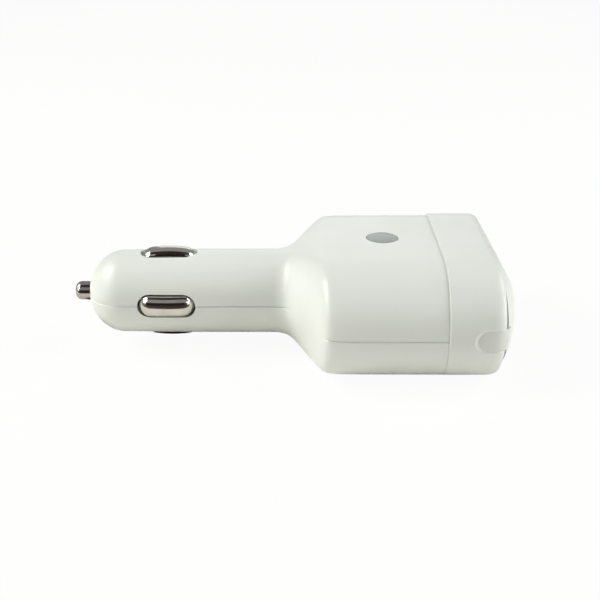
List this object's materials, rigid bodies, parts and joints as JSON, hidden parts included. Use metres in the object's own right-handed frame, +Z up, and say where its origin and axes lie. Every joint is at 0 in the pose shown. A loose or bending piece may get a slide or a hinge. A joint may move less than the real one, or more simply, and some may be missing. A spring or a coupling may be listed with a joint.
{
  "type": "car usb charger plug",
  "caption": "Twin-port USB car charger: a round 12 V plug barrel with sprung contacts that flares into a wide, flat head with a domed front.",
  "frame": {"origin": "on the barrel's axis, at the shoulder where the plug barrel meets the head", "axes": "+X along the barrel's axis towards the USB ports, +Y across the head's width, +Z up through the face with the status lens"},
  "size_m": [0.1075, 0.06, 0.0285],
  "materials": {
    "shell_plastic": "fine satin moulded texture",
    "lens_plastic": "frosted",
    "nickel": "bright nickel plate",
    "spring_steel": "drawn wire",
    "brass_strip": "stamped sheet",
    "board_laminate": "solder mask",
    "port_plastic": "moulded",
    "led_plastic": "clear moulded",
    "fuse_glass": "clear",
    "ferrite": "painted powder core",
    "copper_wire": "enamelled copper",
    "can_sleeve": "sleeved can",
    "chip_plastic": "moulded"
  },
  "bodies": {
    "housing": {"upper_shell": "shell_plastic", "lower_shell": "shell_plastic", "end_cap": "shell_plastic", "face_insert": "shell_plastic", "status_lens": "lens_plastic", "pin_spring": "spring_steel", "contact_spring_top": "spring_steel", "contact_spring_bottom": "spring_steel", "contact_spring_near": "spring_steel", "contact_spring_far": "spring_steel", "ground_frame": "brass_strip", "positive_strap": "brass_strip", "circuit_board": "board_laminate", "usb_shell_near": "nickel", "usb_shell_far": "nickel", "usb_tongue_near": "port_plastic", "usb_tongue_far": "port_plastic", "usb_blades_near": "brass_strip", "usb_blades_far": "brass_strip", "status_led": "led_plastic", "fuse_tube": "fuse_glass", "fuse_caps": "nickel", "inductor_core": "ferrite", "inductor_winding": "copper_wire", "input_capacitor": "can_sleeve", "output_capacitor": "can_sleeve", "controller_chip": "chip_plastic", "diode": "chip_plastic"},
    "pin": {"centre_pin": "nickel"},
    "contact_top": {"contact_top": "nickel"},
    "contact_bottom": {"contact_bottom": "nickel"},
    "contact_near": {"contact_near": "nickel"},
    "contact_far": {"contact_far": "nickel"}
  },
  "joints": [
    {"name": "pin_press", "type": "slide", "parent": "housing", "child": "pin", "axis": [1, 0, 0], "range_m": [0, 0.0025], "stiffness_N_per_m": 600, "springref_m": -0.004, "deforming": ["pin_spring"]},
    {"name": "contact_top_press", "type": "slide", "parent": "housing", "child": "contact_top", "axis": [0, 0, -1], "range_m": [0, 0.00135], "stiffness_N_per_m": 500, "springref_m": -0.003, "deforming": ["contact_spring_top"]},
    {"name": "contact_bottom_press", "type": "slide", "parent": "housing", "child": "contact_bottom", "axis": [0, 0, 1], "range_m": [0, 0.00135], "stiffness_N_per_m": 500, "springref_m": -0.003, "deforming": ["contact_spring_bottom"]},
    {"name": "contact_near_press", "type": "slide", "parent": "housing", "child": "contact_near", "axis": [0, 1, 0], "range_m": [0, 0.00135], "stiffness_N_per_m": 500, "springref_m": -0.003, "deforming": ["contact_spring_near"]},
    {"name": "contact_far_press", "type": "slide", "parent": "housing", "child": "contact_far", "axis": [0, -1, 0], "range_m": [0, 0.00135], "stiffness_N_per_m": 500, "springref_m": -0.003, "deforming": ["contact_spring_far"]}
  ]
}
